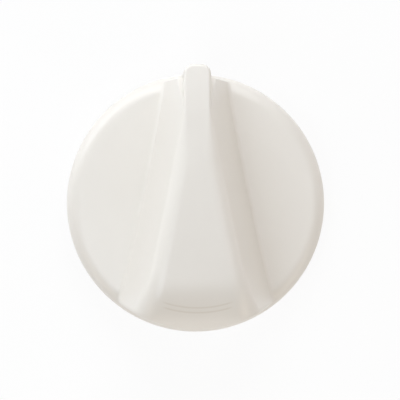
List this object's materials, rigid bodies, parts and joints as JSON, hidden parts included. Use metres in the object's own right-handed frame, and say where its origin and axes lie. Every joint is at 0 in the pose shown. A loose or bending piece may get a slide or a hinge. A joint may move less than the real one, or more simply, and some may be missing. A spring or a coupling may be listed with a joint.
{
  "type": "stove knob",
  "caption": "Round-skirted moulded stove knob with a wedge grip bar that narrows to a pointer nose, a hollow back with a ribbed hub, and a spring clip in its D-shaped stem socket.",
  "frame": {"origin": "centre of the rear rim, on the plane the knob rests on", "axes": "+Z out of the front face along the stem axis, +Y towards the pointer nose of the grip, +X to the right when facing the knob"},
  "size_m": [0.052, 0.0532, 0.0255],
  "materials": {
    "white_plastic": "glossy warm white moulded plastic",
    "spring_steel": "bare rolled spring steel strip"
  },
  "bodies": {
    "root": {"knob_body": "white_plastic", "spring_clip": "spring_steel"}
  },
  "joints": []
}
